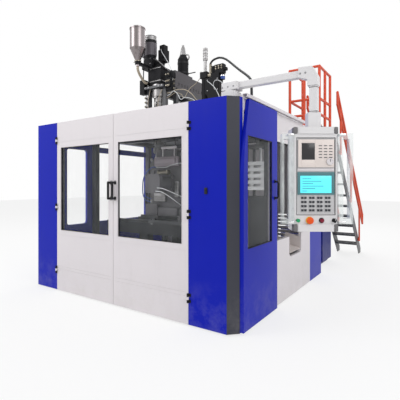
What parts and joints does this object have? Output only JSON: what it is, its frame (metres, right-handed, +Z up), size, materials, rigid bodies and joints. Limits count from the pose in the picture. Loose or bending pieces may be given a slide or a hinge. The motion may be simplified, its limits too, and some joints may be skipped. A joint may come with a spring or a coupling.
{
  "type": "blow moulding machine",
  "caption": "Guarded extrusion blow moulding machine with a roof extruder and die head, shuttle clamp, blow unit, sliding side door, swinging operator pendant and rear stair.",
  "frame": {"origin": "on the floor under the centre of the guarded body, at the underside of the central foot", "axes": "+X to the right along the front, +Y to the back towards the stair, +Z up"},
  "size_m": [4.0986, 5.2515, 3.751],
  "materials": {
    "frame_grey": "satin",
    "machined_steel": "satin",
    "roof_grey": "satin",
    "strip_grey": "satin",
    "guard_blue": "satin",
    "guard_white": "satin",
    "window": "gloss",
    "black_paint": "satin",
    "black_plastic": "matte",
    "taupe": "matte",
    "stair_dark": "satin",
    "rail_red": "satin",
    "deep_blue": "satin",
    "guard_dark": "satin",
    "heater": "satin",
    "grey_paint": "satin",
    "stainless": "polished",
    "cast_grey": "satin",
    "mould_alu": "satin",
    "hose_beige": "matte",
    "hose_black": "matte",
    "pendant_alu": "satin",
    "handle_clear": "gloss",
    "panel_face": "satin",
    "green": "gloss",
    "red_stop": "gloss",
    "dark_red": "gloss",
    "switch_black": "gloss"
  },
  "bodies": {
    "machine": {"base_frame": "frame_grey", "machine_bed": "frame_grey", "upper_frame": "frame_grey", "roof_plates": "roof_grey", "corner_strips": "strip_grey", "blue_panels": "guard_blue", "left_wall": "guard_blue", "right_wall": "guard_white", "rear_wall": "guard_white", "wall_windows": "window", "side_door_track": "guard_white", "door_hinges": "black_paint", "product_chute": "taupe", "stair": "stair_dark", "handrails": "rail_red", "hydraulic_unit": "deep_blue", "extruder_frame": "frame_grey", "barrel_guard": "guard_dark", "extruder_barrel": "machined_steel", "heater_bands": "heater", "extruder_gearbox": "grey_paint", "extruder_motor": "grey_paint", "material_hoppers": "stainless", "die_head": "machined_steel", "parison_cylinder": "black_paint", "stripe_extruder": "black_paint", "valve_blocks": "black_paint", "blow_column": "black_paint", "blow_cylinder": "machined_steel", "trim_frame": "frame_grey", "arm_turret": "pendant_alu", "hopper_hose": "hose_beige", "blow_hose": "hose_black"},
    "side_door": {"side_door": "guard_blue", "side_door_window": "window"},
    "left_door": {"left_door": "guard_white", "left_door_window": "window", "left_door_handle": "black_plastic"},
    "right_door": {"right_door": "guard_white", "right_door_window": "window", "right_door_handle": "black_plastic"},
    "clamp_carriage": {"clamp_carriage": "frame_grey"},
    "clamp_frame": {"clamp_frame": "cast_grey", "clamp_cylinder": "machined_steel", "clamp_hose": "hose_black", "rear_mould": "mould_alu"},
    "front_platen": {"front_platen": "cast_grey", "front_mould": "mould_alu"},
    "blow_slide": {"blow_slide": "machined_steel"},
    "die_core": {"die_core": "machined_steel"},
    "extruder_screw": {"extruder_screw": "machined_steel"},
    "trim_plates": {"trim_plates": "mould_alu"},
    "pendant_arm": {"pendant_arm": "pendant_alu"},
    "pendant_head": {"pendant_housing": "pendant_alu", "pendant_handles": "handle_clear", "pendant_panel": "panel_face"},
    "start_button": {"start_button": "green"},
    "stop_button": {"stop_button": "red_stop"},
    "motor_button": {"motor_button": "dark_red"},
    "selector_switch": {"selector_switch": "switch_black"}
  },
  "joints": [
    {"name": "side_door_slide", "type": "slide", "parent": "machine", "child": "side_door", "axis": [0, 1, 0], "range_m": [0, 0.85]},
    {"name": "left_door_hinge", "type": "hinge", "parent": "machine", "child": "left_door", "pos_m": [-1.063, -1.422, 0.267], "axis": [0, 0, -1], "range_deg": [0, 110]},
    {"name": "right_door_hinge", "type": "hinge", "parent": "machine", "child": "right_door", "pos_m": [1.063, -1.422, 0.267], "axis": [0, 0, 1], "range_deg": [0, 110]},
    {"name": "carriage_shift", "type": "slide", "parent": "machine", "child": "clamp_carriage", "axis": [1, 0, 0], "range_m": [-0.845, 0]},
    {"name": "rear_clamp_slide", "type": "slide", "parent": "clamp_carriage", "child": "clamp_frame", "axis": [0, 1, 0], "range_m": [0, 0.13]},
    {"name": "front_clamp_slide", "type": "slide", "parent": "clamp_carriage", "child": "front_platen", "axis": [0, -1, 0], "range_m": [0, 0.13]},
    {"name": "blow_pin_stroke", "type": "slide", "parent": "machine", "child": "blow_slide", "axis": [0, 0, 1], "range_m": [-0.165, 0]},
    {"name": "core_stroke", "type": "slide", "parent": "machine", "child": "die_core", "axis": [0, 0, 1], "range_m": [-0.012, 0]},
    {"name": "screw_turn", "type": "hinge", "parent": "machine", "child": "extruder_screw", "pos_m": [-0.5, 0.5, 3.057], "axis": [0, 1, 0], "continuous": true},
    {"name": "trim_stroke", "type": "slide", "parent": "machine", "child": "trim_plates", "axis": [0, 0, 1], "range_m": [-0.07, 0]},
    {"name": "arm_swivel", "type": "hinge", "parent": "machine", "child": "pendant_arm", "pos_m": [1.43, -1.21, 2.35], "axis": [0, 0, 1], "range_deg": [-95, 40]},
    {"name": "head_swivel", "type": "hinge", "parent": "pendant_arm", "child": "pendant_head", "pos_m": [2.224, -1.21, 1.857], "axis": [0, 0, 1], "range_deg": [-60, 60]},
    {"name": "start_press", "type": "slide", "parent": "pendant_head", "child": "start_button", "axis": [-0.5592, 0.829, 0], "range_m": [0, 0.005], "stiffness_N_per_m": 400},
    {"name": "stop_press", "type": "slide", "parent": "pendant_head", "child": "stop_button", "axis": [-0.5592, 0.829, 0], "range_m": [0, 0.005], "stiffness_N_per_m": 400},
    {"name": "motor_press", "type": "slide", "parent": "pendant_head", "child": "motor_button", "axis": [-0.5592, 0.829, 0], "range_m": [0, 0.005], "stiffness_N_per_m": 400},
    {"name": "selector_turn", "type": "hinge", "parent": "pendant_head", "child": "selector_switch", "pos_m": [2.38935, -1.21909, 1.093], "axis": [-0.5592, 0.829, 0], "range_deg": [-45, 45]}
  ],
  "couplings": [
    {"joint": "front_clamp_slide", "follows": "rear_clamp_slide", "ratio": 1}
  ]
}
